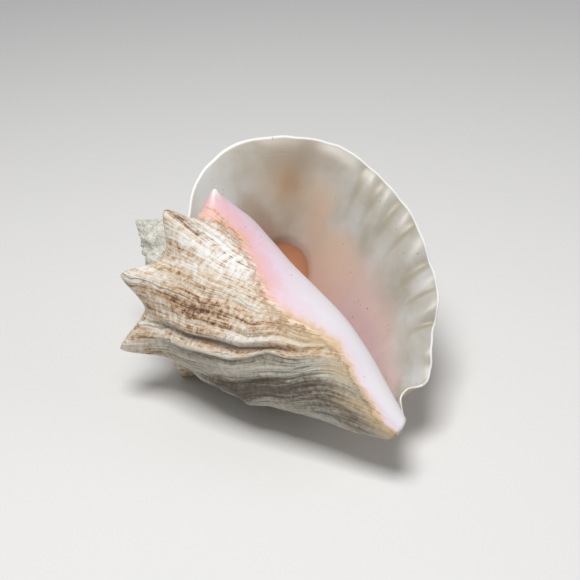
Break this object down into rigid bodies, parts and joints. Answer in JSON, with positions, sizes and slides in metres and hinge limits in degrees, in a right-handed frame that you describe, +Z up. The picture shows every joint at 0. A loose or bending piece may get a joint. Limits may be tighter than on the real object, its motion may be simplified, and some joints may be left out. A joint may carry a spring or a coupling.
{
  "type": "conch shell",
  "caption": "Large spired sea shell with a flared lip, knobbed shoulders and a glossy aperture, lying on its back.",
  "frame": {"origin": "middle of the shell's outline seen from above, at the height of the surface it lies on", "axes": "+X towards the tip of the siphonal canal with the spire at -X, +Y towards the flared lip, +Z up out of the aperture"},
  "size_m": [0.217, 0.1666, 0.1235],
  "materials": {
    "shell": "natural shell: matte cream and tan streaks outside, glossy white and pink porcelain inside the lip"
  },
  "bodies": {
    "root": {"conch_shell": "shell"}
  },
  "joints": []
}
